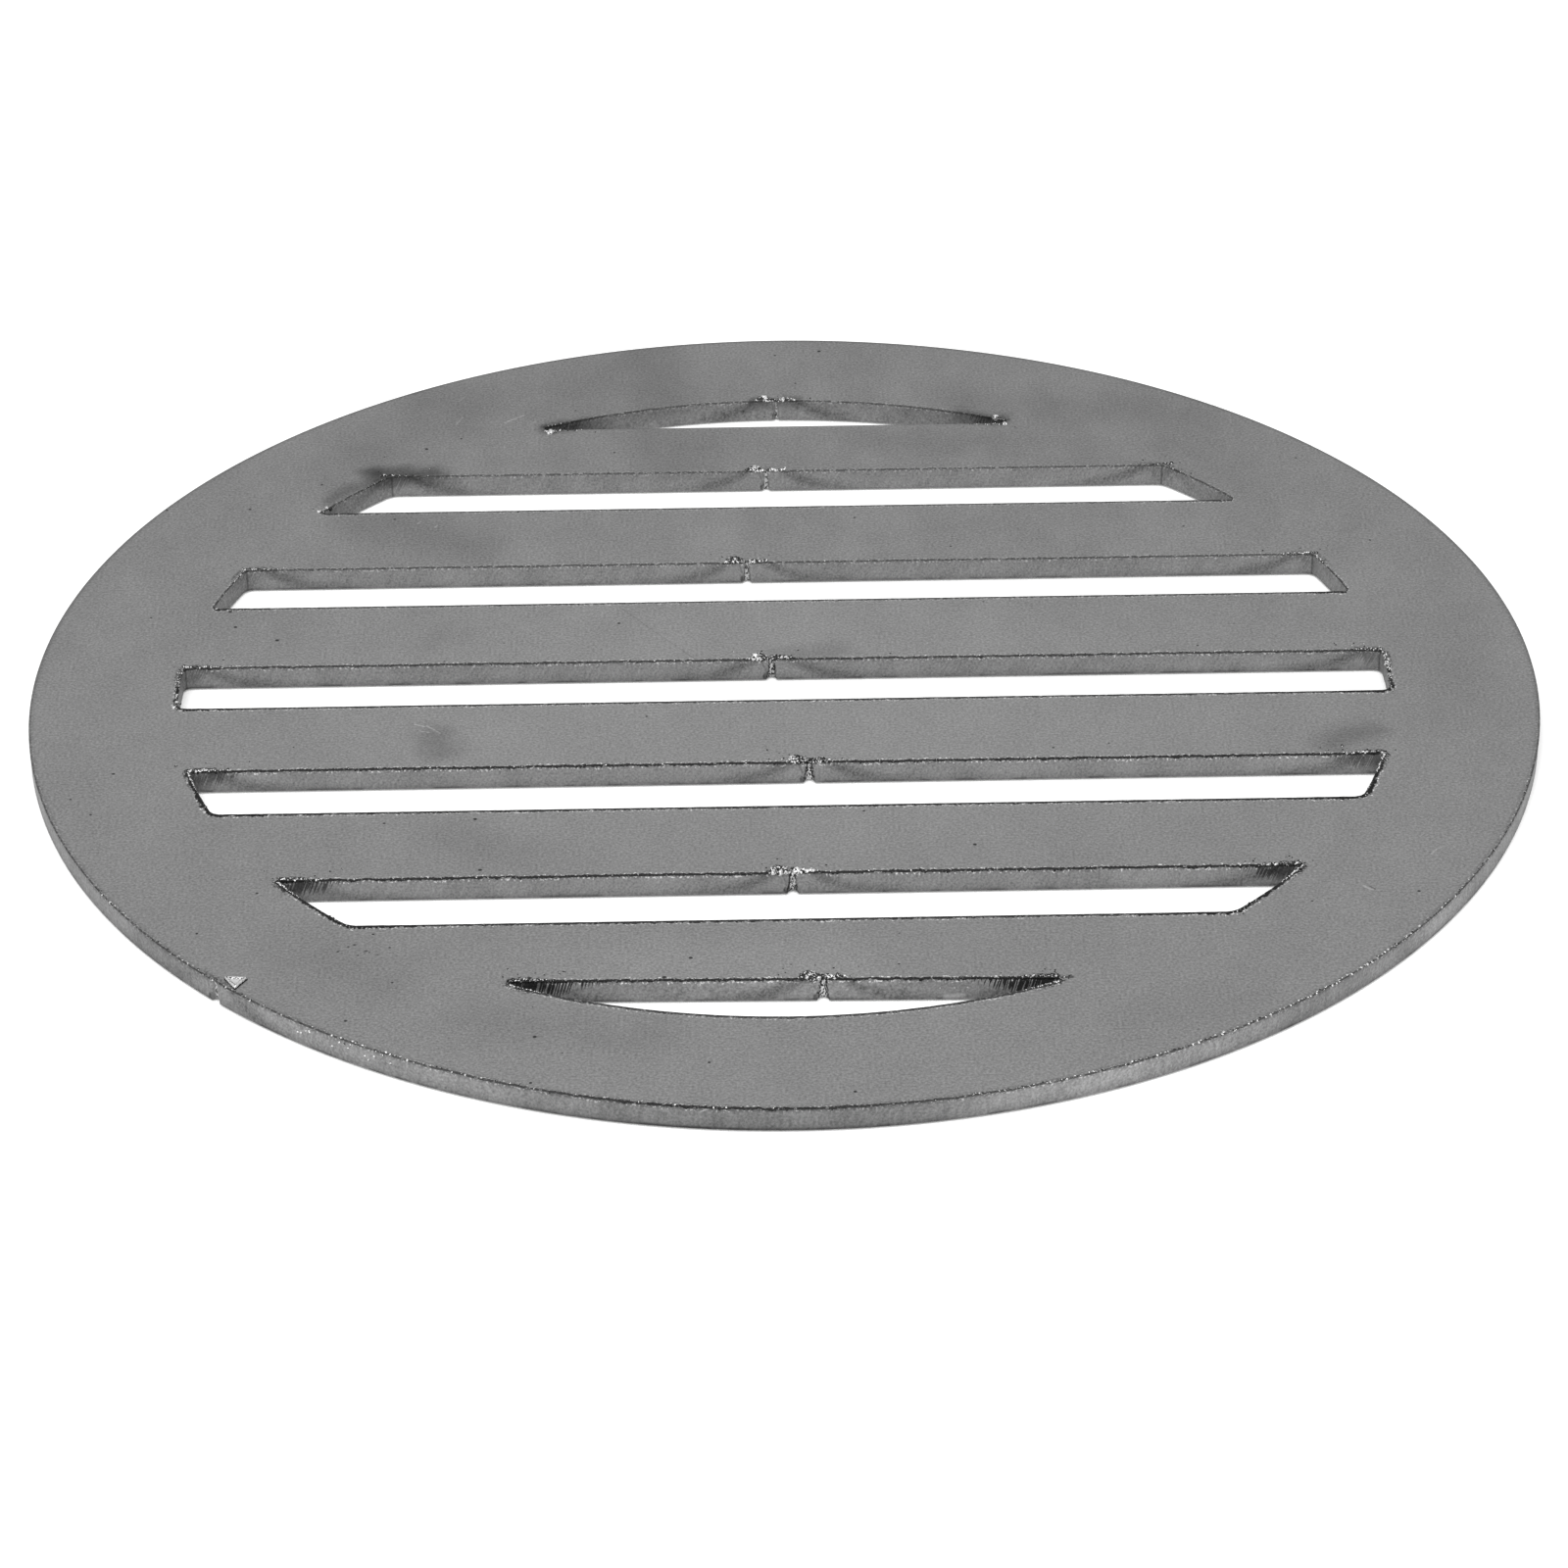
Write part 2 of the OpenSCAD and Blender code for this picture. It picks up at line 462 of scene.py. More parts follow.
def make_plate(cuts, material):
    """The cut walls and the two faces between them, with the attributes that the material reads."""
    vertices = []
    quads = []
    marks = ("from_groove", "from_corner", "line", "hatch", "hatch_length", "near", "far")
    per_column = (*marks, "wall_share", "groove_size")
    columns = {name: [] for name in ("wall", "across", *per_column)}
    loops = {"top": [], "bottom": []}
    ids = {"top": [], "bottom": []}
    first = 0
    for cut in cuts:
        grid = wall_grid(cut)
        rows, count = grid.shape[:2]
        number = first + np.arange(rows * count).reshape(rows, count)
        beside = np.roll(number, -1, axis=1)
        quads.append(np.stack([number[:-1], beside[:-1], beside[1:], number[1:]], axis=-1).reshape(-1, 4))
        vertices.append(grid.reshape(-1, 3))
        columns["wall"].append(np.repeat(WALL_ROWS, count))
        columns["across"].append(across_edge(cut).ravel())
        for name in per_column:
            columns[name].append(np.tile(getattr(cut, name), rows))
        for side, row in (("top", 0), ("bottom", -1)):
            loops[side].append(grid[row][:, :2])
            ids[side].append(number[row])
        first += rows * count
    triangles = []
    for side, height in (("top", PLATE_T), ("bottom", 0)):
        extra = face_grid(loops[side])
        numbers = np.concatenate([*ids[side], first + np.arange(len(extra))])
        found = numbers[fill_face(loops[side], extra)]
        triangles.append(found if side == "top" else found[:, ::-1])
        vertices.append(np.column_stack([extra, np.full(len(extra), height)]))
        for name in columns:
            columns[name].append(np.full(len(extra), FAR_AWAY.get(name, 0)))
        first += len(extra)
    faces = np.vstack(quads).tolist() + np.vstack(triangles).tolist()
    plate = new_object("cut_plate", np.vstack(vertices), faces, material)
    for name, values in columns.items():
        set_attribute(plate.data, name, np.concatenate(values))
    return plate


# ---- Materials ----

# Tone, metallic and roughness of the rolled face and of the cut walls
FACE_TONE = 0.2365
WALL_TONE = 0.177
FACE_METALLIC = 0.6
WALL_METALLIC = 0.5
FACE_ROUGHNESS = 0.62
# Height of each material's relief, in metres
STEEL_RELIEF = 0.00006
SLAG_RELIEF = 0.00008
FLOOR_RELIEF = 0.00002
# Distance from one drag line to the next
DRAG_PITCH = 0.38
# Where a swoosh of painted shade starts to drop, and the run in which it drops to about a third
SWOOSH_START = 2.5
SWOOSH_RUN = 4
# Broad painted sheen on the top face, a lighter oval: its centre, and 1 over its half width and half depth
SHEEN_CENTRE = (0, -6, PLATE_T)
SHEEN_SHAPE = (1 / 88, 1 / 46, 0)


class Nodes:
    """Short calls for a material's shader nodes."""

    def __init__(self, name):
        self.material = bpy.data.materials.new(name)
        self.material.use_nodes = True
        self.tree = self.material.node_tree
        self.tree.nodes.clear()

    def put(self, socket, value):
        if isinstance(value, bpy.types.NodeSocket):
            self.tree.links.new(value, socket)
        else:
            socket.default_value = value

    def add(self, kind, *values, **settings):
        """A new shader node with its settings, and values or links for its first inputs."""
        node = self.tree.nodes.new("ShaderNode" + kind)
        for name, setting in settings.items():
            setattr(node, name, setting)
        for socket, value in zip(node.inputs, values):
            self.put(socket, value)
        return node

    def math(self, operation, *values, clamp=False):
        return self.add("Math", *values, operation=operation, use_clamp=clamp).outputs[0]

    def vector_math(self, operation, *vectors):
        """Both outputs: a vector and a number."""
        return self.add("VectorMath", *vectors, operation=operation).outputs

    def chain(self, operation, values):
        result = values[0]
        for value in values[1:]:
            result = self.math(operation, result, value)
        return result

    def sum(self, *values):
        return self.chain("ADD", values)

    def times(self, *values):
        return self.chain("MULTIPLY", values)

    def ramp(self, value, slope, start):
        return self.math("MULTIPLY_ADD", value, slope, start)

    def sway(self, noise, amount):
        """Noise from 0 to 1 as a swing of that amount about 0."""
        return self.ramp(noise, amount, -amount / 2)

    def tint(self, share, change):
        """A factor that is 1 where the share is 0, and changed by that much where it is 1."""
        return self.ramp(share, change, 1)

    def step(self, value, low, high, start=0, end=1):
        """Start below low, end above high, and a smooth change between them. Low may be above high."""
        values = (value, low, high, start, end)
        return self.add("MapRange", *values, interpolation_type="SMOOTHSTEP").outputs[0]

    def band(self, value, centre, half_width):
        """1 at the centre, falling smoothly to 0 on both sides."""
        gap = self.math("ABSOLUTE", self.math("SUBTRACT", value, centre))
        return self.step(gap, half_width, 0)

    def blend(self, share, a, b):
        node = self.add("Mix", share, data_type="FLOAT")
        self.put(node.inputs[2], a)
        self.put(node.inputs[3], b)
        return node.outputs[0]

    def place(self):
        """The point on the object, in millimetres in the row frame."""
        return self.stretch(self.add("TexCoord").outputs["Object"], (1 / MM, 1 / MM, 1 / MM))

    def stretch(self, vector, factors):
        return self.vector_math("MULTIPLY", vector, factors)[0]

    def split(self, vector):
        return self.add("SeparateXYZ", vector).outputs[:]

    def join(self, x, y, z):
        return self.add("CombineXYZ", x, y, z).outputs[0]

    def read(self, name):
        return self.add("Attribute", attribute_name=name).outputs["Fac"]

    def noise(self, vector, size, detail=2, roughness=0.5):
        """Noise from 0 to 1, mostly near 0.5, with features of about that size."""
        node = self.add("TexNoise", vector)
        node.inputs["Scale"].default_value = 1 / size
        node.inputs["Detail"].default_value = detail
        node.inputs["Roughness"].default_value = roughness
        return node.outputs[0]

    def specks(self, vector, size, share, radius):
        """Round specks, one in that share of cells of the given size, up to that radius."""
        node = self.add("TexVoronoi", vector)
        node.inputs["Scale"].default_value = 1 / size
        chance, big, _ = self.split(node.outputs["Color"])
        edge = self.ramp(big, 0.7 * radius / size, 0.3 * radius / size)
        inside = self.step(self.math("DIVIDE", node.outputs["Distance"], edge), 1, 0.5)
        return self.times(inside, self.math("LESS_THAN", chance, share))

    def gap_to(self, vector, point, shape=(1, 1, 1)):
        """Distance from a point, with each axis stretched by shape."""
        offset = self.vector_math("SUBTRACT", vector, point)[0]
        return self.vector_math("LENGTH", self.stretch(offset, shape))[1]

    def stroke(self, vector, start, end, width, core=0.25):
        """1 along the core of a line from start to end, and 0 at the edge of its width."""
        start, end = Vector(start), Vector(end)
        run = end - start
        offset = self.vector_math("SUBTRACT", vector, start)[0]
        dot = self.vector_math("DOT_PRODUCT", offset, run)[1]
        foot = self.add("VectorMath", run, operation="SCALE")
        self.put(foot.inputs["Scale"], self.math("DIVIDE", dot, run.length_squared, clamp=True))
        gap = self.vector_math("DISTANCE", offset, foot.outputs[0])[1]
        return self.step(gap, width / 2, core * width / 2)

    def finish(self, tone, metallic, roughness, height, relief):
        """Ends the material with a grey metal shader."""
        bump = self.add("Bump")
        bump.inputs["Distance"].default_value = relief
        self.put(bump.inputs["Height"], height)
        shader = self.add("BsdfPrincipled")
        self.put(shader.inputs["Base Color"], self.join(tone, tone, tone))
        self.put(shader.inputs["Metallic"], metallic)
        self.put(shader.inputs["Roughness"], roughness)
        self.put(shader.inputs["Normal"], bump.outputs[0])
        self.add("OutputMaterial", shader.outputs[0])
        return self.material


# Soft dark clouds of soot on the top face and the walls: x and y of both ends, width and darkness
CLOUDS = [
    (-60.5, 49, -54, 56.8, 4.5, 0.36),
    (-54, 56.8, -46.5, 56.8, 6.5, 0.6),
    (-31, 69.8, -25, 71.6, 4.5, 0.55),
    (25.5, 72, 31, 70.2, 4.5, 0.55),
    (-2.4, 77.2, -1.2, 77.4, 3.2, 0.5),
    (1.2, 77.2, 2.8, 77, 3, 0.45),
    (-18, 96, -15, 77, 14, 0.2),
    (-16, 68, -14, 58, 15, 0.15),
    (-53, 65, -44, 78, 18, 0.12),
    (-29, 74, -24, 88, 16, 0.11),
    (27, 75, 50, 73, 14, 0.12),
    (56, 68, 68, 48, 18, 0.09),
    (14, 65, 30, 64, 12, 0.12),
    (86, 28, 86, -10, 16, 0.07),
    (-53, 42, -42, 38, 15, 0.16),
    (-46, 10, -43, 13, 8, 0.07),
    (-43.8, -12.5, -43, -16, 8, 0.26),
    (68.5, -17.5, 72, -15, 8, 0.3),
    (1, 6.5, 7, 7.5, 6, 0.16),
    (-42, -36, -34, -40, 11, 0.09),
    (-58, -61, -48, -68, 15, 0.09),
    (-38, -76, -18, -81, 11, 0.1),
    (40, -79, 48, -76, 12, 0.06),
    (-22, -66, 6, -66, 16, -0.1),
]
# Scratches on the top face, and a dark stroke at the front opening's right tip: x and y of both ends, width
# and change of tone
SCRATCHES = [
    (-21.1, 19.2, -11.4, 5.6, 0.3, -0.16),
    (-46.4, -9.8, -45.2, -10.4, 0.4, 0.6),
    (-44.9, -10.2, -43.2, -12, 0.4, 0.55),
    (-45.8, -11.4, -44.6, -11.8, 0.35, 0.5),
    (31.3, -69.5, 32.3, -69.5, 0.7, -0.7),
    (77.1, -44, 77.8, -43, 0.4, 0.35),
    (77.8, -43, 79.6, -41.9, 0.3, 0.25),
    (68.2, -50.9, 69.2, -51.8, 0.45, 0.5),
    (68.9, -51, 69.5, -51.6, 0.3, -0.5),
    (-37.4, 71.4, -34.9, 73.4, 0.5, 0.35),
    (-44.1, 71, -43.3, 73, 0.4, 0.35),
    (-43.9, 78, -43.2, 79.4, 0.4, 0.25),
    (-33.8, 70.9, -33.2, 71.6, 0.4, 0.3),
    (-50.5, 46, -49.8, 47, 0.4, 0.5),
    (-48.3, 42.6, -47.8, 43.3, 0.4, 0.4),
    (-45.9, 41.6, -45.6, 42.1, 0.4, 0.5),
]
# Dark pits in a cluster on the top face: x, y and radius
PITS = [
    (-53.3, -61.6, 0.35),
    (-52.1, -60.6, 0.28),
    (-51.4, -60.2, 0.36),
    (-50, -61.6, 0.34),
    (-49.6, -61.9, 0.22),
    (-50.9, -62.5, 0.24),
    (-48.6, -62.4, 0.26),
]


def cloud_tone(n, at):
    """Factor for the soft clouds, whose outlines wander and fade down the walls."""
    x, y, z = n.split(at)
    drift_x = n.sway(n.noise(at, 4, detail=3), 4)
    drift_y = n.sway(n.noise(n.stretch(at, (1, -1, 1)), 4, detail=3), 4)
    flat = n.join(n.sum(x, drift_x), n.sum(y, drift_y), 0)
    high = n.step(z, 1, 2.9, 0.1, 1)
    # The surface also gets a little darker towards the back
    tone = n.step(y, 25, 60, 1, 0.95)
    for x1, y1, x2, y2, width, depth in CLOUDS:
        cloud = n.stroke(flat, (x1, y1, 0), (x2, y2, 0), 1.2 * width, core=0)
        tone = n.times(tone, n.tint(n.times(cloud, high), -depth))
    return tone


# Painted glints on the far wall of the front opening, and the soft painted patch of light at its foot: place
# and radius
GLINTS = [((17, -69.26, 1.65), 0.16), ((18.7, -69.28, 1.65), 0.14), ((20.2, -69.31, 1.7), 0.14)]
FOOT_LIGHT_POOL = ((17.6, -69.27, 0.4), (19.6, -69.3, 0.6), 1.1)


def glint_tone(n, at):
    """Painted glints and a painted patch of light on the far wall of the front opening."""
    marks = [n.times(n.stroke(at, *FOOT_LIGHT_POOL, core=0), 0.7)]
    for point, radius in GLINTS:
        marks.append(n.step(n.gap_to(at, point), radius, 0, 0, 1.6))
    return n.sum(*marks)


def face_tone(n, at):
    """Tone and relief of the top face: fine grain, streaky patches, a broad painted sheen, pits, specks and
    scratches.
    """
    _, y, _ = n.split(at)
    grain = n.noise(at, 0.34, roughness=0.6)
    patches = n.noise(n.stretch(at, (1, 0.55, 1)), 8, detail=3)
    tone = n.sum(
        n.sway(grain, 1.4),
        n.sway(n.noise(at, 2.2), 0.12),
        n.times(n.math("SUBTRACT", patches, 0.5), n.step(y, -20, 50, 0.2, 0.4)),
        n.step(n.gap_to(at, SHEEN_CENTRE, SHEEN_SHAPE), 1, 0.4, 0, 0.09),
        1,
    )
    for x1, y1, x2, y2, width, change in SCRATCHES:
        tone = n.ramp(n.stroke(at, (x1, y1, PLATE_T), (x2, y2, PLATE_T), width), change, tone)
    for pit_x, pit_y, radius in PITS:
        tone = n.sum(tone, n.step(n.gap_to(at, (pit_x, pit_y, PLATE_T)), radius, 0, 0, -0.7))
    pits = n.specks(at, 4, 0.75, 0.32)
    flecks = n.specks(n.stretch(at, (1, 1, 0.5)), 3.7, 0.1, 0.26)
    tone = n.sum(tone, n.times(pits, -1.3), n.times(flecks, 0.6))
    return n.math("MAXIMUM", tone, 0.12), grain


def swoosh_shade(n, gap, z):
    """Painted shade: the soft dark band that drops away along the wall from a groove or corner, in place of
    the shading of the wall's curve there.
    """
    fall = n.math("EXPONENT", n.ramp(gap, -1 / SWOOSH_RUN, SWOOSH_START / SWOOSH_RUN))
    fade = n.step(gap, 17, 4)
    return n.times(n.band(z, n.times(fall, PLATE_T), 1.4), fade)


def corner_hatch(n, at, gap, z):
    """Zone of drag lines beside a corner, darkened with painted shade: its darkness from 0 to 1, and the
    lines.
    """
    x, y, _ = n.split(at)
    length = n.read("hatch_length")
    share = n.math("DIVIDE", z, PLATE_T)
    along = n.math("DIVIDE", gap, n.times(length, n.ramp(share, 0.75, 0.25)))
    across_lines = n.ramp(z, n.ramp(length, 0.02, -0.55), x)
    slanted = n.join(across_lines, y, n.times(z, 0.05))
    drift = n.times(n.noise(slanted, 0.9, detail=1), 14)
    wave = n.math("SINE", n.ramp(across_lines, 2 * math.pi / DRAG_PITCH, drift))
    drag = n.sum(n.times(wave, 0.12), n.noise(slanted, 0.22, detail=1, roughness=0.6))
    open_share = n.step(along, 0.1, 1, 0.66, 0.38)
    lines = n.step(drag, n.sum(open_share, 0.03), n.sum(open_share, -0.03))
    dark = n.math("MAXIMUM", lines, n.times(n.step(along, 0.4, 0), 0.55))
    hatch = n.read("hatch")
    at_foot = n.step(hatch, 0.85, 1, 0.1, 1)
    fade = n.step(share, 0.05, 0.6, at_foot, 1)
    return n.times(n.step(along, 1, 0.7), dark, fade, hatch), drag


def groove_marks(n, at, z):
    """Bright ragged column in a groove as a painted highlight, and as painted shade its dark borders, the
    dark mark at its foot and a dark crease.
    """
    line = n.read("line")
    across = n.math("DIVIDE", n.read("from_groove"), n.read("groove_size"))
    spot = n.join(n.times(across, -1), 0, z)
    radius = n.ramp(z, (GROOVE_R_TOP - GROOVE_R_LOW) / PLATE_T, GROOVE_R_LOW)
    offset = n.math("ABSOLUTE", across)
    side = n.sum(offset, n.sway(n.noise(at, 0.5, roughness=0.7), 0.6))
    torn = n.step(n.noise(at, 0.4), 0.4, 0.55)
    border_shade = n.times(n.band(side, n.times(radius, 0.8), 0.42), torn, n.step(line, 0.5, 1.1))
    core = n.step(side, n.times(radius, 0.85), n.times(radius, 0.6))
    flecks = n.step(n.noise(n.stretch(at, (1, 1, 0.6)), 0.22, detail=1), 0.44, 0.54, -0.9, 2.1)
    foot = n.step(n.gap_to(spot, (-1.15, 0, 0.55), (1.2, 0, 1)), 0.6, 0.25)
    crease_shade = n.stroke(spot, (-1.8, 0, PLATE_T), (-0.75, 0, 0.9), 0.5)
    # Painted highlight down the middle, and painted shade on the borders, at the foot and in the crease
    bright = n.times(core, flecks, n.ramp(line, 0.5, 0.5))
    dark = n.sum(n.times(border_shade, -1.6), n.times(foot, -0.7), n.times(crease_shade, -0.3))
    return n.times(n.step(offset, 2.6, 2), n.sum(bright, dark))


def wall_tone(n, at):
    """Tone and relief of a cut wall: swooshes of painted shade, drag lines with painted shade near the
    corners, the groove's painted highlight and shade, painted glints, flecks and pits, painted shade low on
    the wall and painted light high on it.
    """
    x, y, z = n.split(at)
    from_corner = n.read("from_corner")
    from_groove = n.math("ABSOLUTE", n.read("from_groove"))
    leaning = n.join(n.ramp(z, -0.5, x), y, n.times(z, 0.2))
    streaks = n.noise(leaning, 0.4, detail=3, roughness=0.6)
    grain = n.noise(at, 0.3, roughness=0.6)
    hatch, drag = corner_hatch(n, at, from_corner, z)
    # Painted shade: swooshes from the far corners and from the groove
    shade_bands = n.math("MAXIMUM", swoosh_shade(n, from_corner, z), swoosh_shade(n, from_groove, z))
    tone = n.sum(
        1,
        n.sway(streaks, 0.6),
        n.sway(grain, 1.6),
        n.ramp(n.noise(at, 5), 0.6, -0.28),
        n.times(shade_bands, n.ramp(n.read("far"), -0.32, -0.1)),
        groove_marks(n, at, z),
        glint_tone(n, at),
        n.times(n.specks(at, 1.6, 0.12, 0.22), -0.4),
        n.times(n.specks(n.stretch(at, (1, 1, 1.3)), 1.9, 0.08, 0.2), 0.55),
    )
    # Painted shade: the drag-line zone is darkened, and a dark crease right at the corner
    crease_shade = n.step(from_corner, 0.2, 0.08, 0, 0.5)
    tone = n.times(tone, n.tint(hatch, -0.93), n.math("SUBTRACT", 1, crease_shade))
    front = n.step(y, 58, 12, 0.2, 1)
    low_shade = n.step(z, 1.6, -0.2, 1, n.tint(front, -0.32))
    high_light = n.step(z, 1.6, 2.6, 1, n.ramp(n.read("line"), 0.1, 0.96))
    tone = n.times(tone, low_shade, high_light, n.read("wall_share"))
    foot_line = n.times(n.step(z, 0.5, 0.2), n.step(n.noise(at, 4, detail=3), 0.45, 0.6))
    tone = n.times(tone, n.tint(n.times(foot_line, front), -0.5))
    relief = n.sum(n.times(streaks, 0.6), n.times(grain, 0.4), n.times(drag, hatch))
    return n.math("MAXIMUM", tone, 0.03), relief


def edge_line(n, at):
    """Factor for the edge of a cut: a broken, wavy dark line that is painted shadow under the burr, between
    bright flecks that are painted glints, and painted shade round the slag crumbs near grooves and corners.
    """
    line = n.read("line")
    near = n.read("near")
    broad = n.sway(n.noise(at, 1.6, detail=1), 0.45)
    wander = n.sum(broad, n.sway(n.noise(at, 0.35, detail=1), 0.6))
    across = n.sum(n.read("across"), n.times(wander, line))
    gap = n.math("ABSOLUTE", n.math("SUBTRACT", across, n.ramp(near, -0.24, 0.02)))
    width = n.sum(n.times(line, 0.15), n.times(near, 0.05), 0.09)
    cover = n.ramp(line, -0.15, 0.5)
    broken = n.step(n.noise(at, 0.5, detail=3, roughness=0.7), cover, n.sum(cover, 0.05))
    # Painted shadow line under the burr
    body = n.step(n.math("DIVIDE", gap, width), 1, 0.6)
    depth = n.math("MULTIPLY_ADD", line, 0.5, 0.45, clamp=True)
    dark = n.times(body, broken, n.step(line, 0, 0.6), depth)
    # Painted glints beside that line
    beside = n.band(gap, n.sum(width, 0.13), 0.17)
    flecks = n.step(n.noise(at, 0.3, detail=1), 0.56, 0.6)
    bright = n.times(beside, flecks, line, n.step(across, 0, 0.15, 1, 0.7))
    # Painted shade on the face round the slag crumbs near grooves and corners
    verge = n.step(n.math("ABSOLUTE", n.sum(across, 0.35)), 0.65, 0.3)
    near_groove = n.step(n.math("ABSOLUTE", n.read("from_groove")), 3.4, 1.6)
    near_corner = n.step(n.read("from_corner"), 5, 2)
    patchy = n.step(n.noise(n.stretch(at, (1, 1, 0.8)), 0.28, detail=1), 0.47, 0.53)
    crumb_shade = n.times(n.math("MAXIMUM", near_groove, near_corner), verge, patchy, line)
    return n.times(n.tint(dark, -0.97), n.tint(bright, 1.8), n.tint(crumb_shade, -0.85))


def rim_edge(n, at):
    """Factor for the rim: a darker band at its top edge, and patches, fine upright lines, a darker stretch
    and a darker foot on its wall.
    """
    x, y, z = n.split(at)
    radius = n.math("SQRT", n.sum(n.times(x, x), n.times(y, y)))
    outer = n.step(radius, PLATE_R - 0.8, PLATE_R - 0.3)
    top = n.times(outer, n.step(z, PLATE_T - 0.7, PLATE_T - 0.3, 0, 0.2))
    on_wall = n.times(n.step(radius, PLATE_R - 0.2, PLATE_R - 0.1), n.step(z, PLATE_T, PLATE_T - 0.3))
    lines = n.ramp(n.noise(n.stretch(at, (1, 1, 0.12)), 0.5), 0.45, -0.22)
    mottle = n.ramp(n.noise(n.stretch(at, (1, 1, 0.5)), 9), 0.4, -0.15)
    angle = n.times(n.math("ARCTAN2", y, x), math.degrees(1))
    dark_stretch = n.times(n.band(angle, RIM_DARK_ANGLE + 2, 26), -0.38)
    foot = n.times(n.band(angle, RIM_DARK_ANGLE, 24), n.step(z, 0.55, 0.15), -0.4)
    patches = n.sum(*[n.times(n.band(angle, *patch), change) for *patch, change in RIM_PATCHES])
    return n.sum(1, n.times(top, -1), n.times(on_wall, n.sum(lines, mottle, dark_stretch, foot, patches)))


def steel_material():
    """Mild steel: the even grey of the rolled face, and darker cut walls with the torch's marks, with
    painted light and shade on the walls and along the cut edges.
    """
    n = Nodes("torch_cut_steel")
    at = n.place()
    wall = n.read("wall")
    face, face_relief = face_tone(n, at)
    side, side_relief = wall_tone(n, at)
    tone = n.blend(wall, n.times(face, FACE_TONE), n.times(side, WALL_TONE))
    tone = n.times(tone, edge_line(n, at), cloud_tone(n, at), rim_edge(n, at))
    metallic = n.blend(wall, FACE_METALLIC, WALL_METALLIC)
    roughness = n.ramp(n.noise(at, 2.5, detail=3), 0.16, FACE_ROUGHNESS - 0.08)
    height = n.blend(wall, n.times(face_relief, 0.35), side_relief)
    return n.finish(tone, metallic, roughness, height, STEEL_RELIEF)


def slag_material():
    """Frozen slag: bright and black side by side at the scale of a drop, part metal and oxide and part
    painted highlight and shade on the drops.
    """
    n = Nodes("frozen_slag")
    lumps = n.noise(n.place(), 0.24, detail=1, roughness=0.6)
    shifted = n.ramp(n.read("bright"), 0.24, n.math("SUBTRACT", lumps, 0.12))
    tone = n.step(shifted, 0.48, 0.56, 0.02, 0.62)
    roughness = n.step(lumps, 0.4, 0.6, 0.6, 0.35)
    return n.finish(tone, 0.6, roughness, lumps, SLAG_RELIEF)


def floor_material():
    n = Nodes("pale_floor")
    tone = n.ramp(n.noise(n.place(), 60), 0.02, 0.9)
    material = n.finish(tone, 0, 0.9, n.noise(n.place(), 1.5), FLOOR_RELIEF)
    shader = material.node_tree.nodes["Principled BSDF"]
    shader.inputs["Emission Color"].default_value = (1, 1, 1, 1)
    shader.inputs["Emission Strength"].default_value = 0.12
    return material


# ---- Slag ----

# Seeds of the random draws
PIERCE_SEED = 11
CORNER_SEED = 23
RIM_SEED = 37
# Radius from which a drop gets the finer ball
LARGE_DROP = 0.24
# How a drop is pushed out of shape: depth as a share of its radius, and waves per radius
DROP_SWELLS = [(0.42, 1.5), (0.16, 3.7)]
# Beads on the rim's top edge: start and end in degrees, pitch and how bright the beads are
BEAD_STRETCHES = [
    (-78, -62, 0.5, 0.4),
    (-62, -40, 0.36, 0.65),
    (-150, -112, 0.8, 0.55),
    (-112, -80, 1.8, 0.4),
    (-40, -15, 1.1, 0.4),
]
# Corners of the flake on the rim
FLAKE_CORNERS = [(-66.2, -67.1), (-64.8, -69.4), (-63.5, -67.3)]
FLAKE_STEPS = 6
# Rings of the flake from its skirt to its dished middle: share of its outline and height above the face
FLAKE_RINGS = [(1.04, -0.1), (1, 0.42), (0.86, 0.5), (0.7, 0.36), (0.35, 0.3)]
# Painted light and shade at each ring, then at the middle's top and underside: bright on the brim and
# middle, darker on the brim's inner slope, black on the skirt and underside
FLAKE_LIGHT_AND_SHADE = [-1, 1.5, 1.1, 0.4, 1.3]
FLAKE_MIDDLE_LIGHT_AND_SHADE = [1.5, -1]


def ball(subdivisions):
    """Points and triangles of a sphere of radius 1."""
    shape = bmesh.new()
    bmesh.ops.create_icosphere(shape, subdivisions=subdivisions, radius=1)
    points = np.array([v.co for v in shape.verts])
    faces = np.array([[v.index for v in f.verts] for f in shape.faces])
    shape.free()
    return points, faces


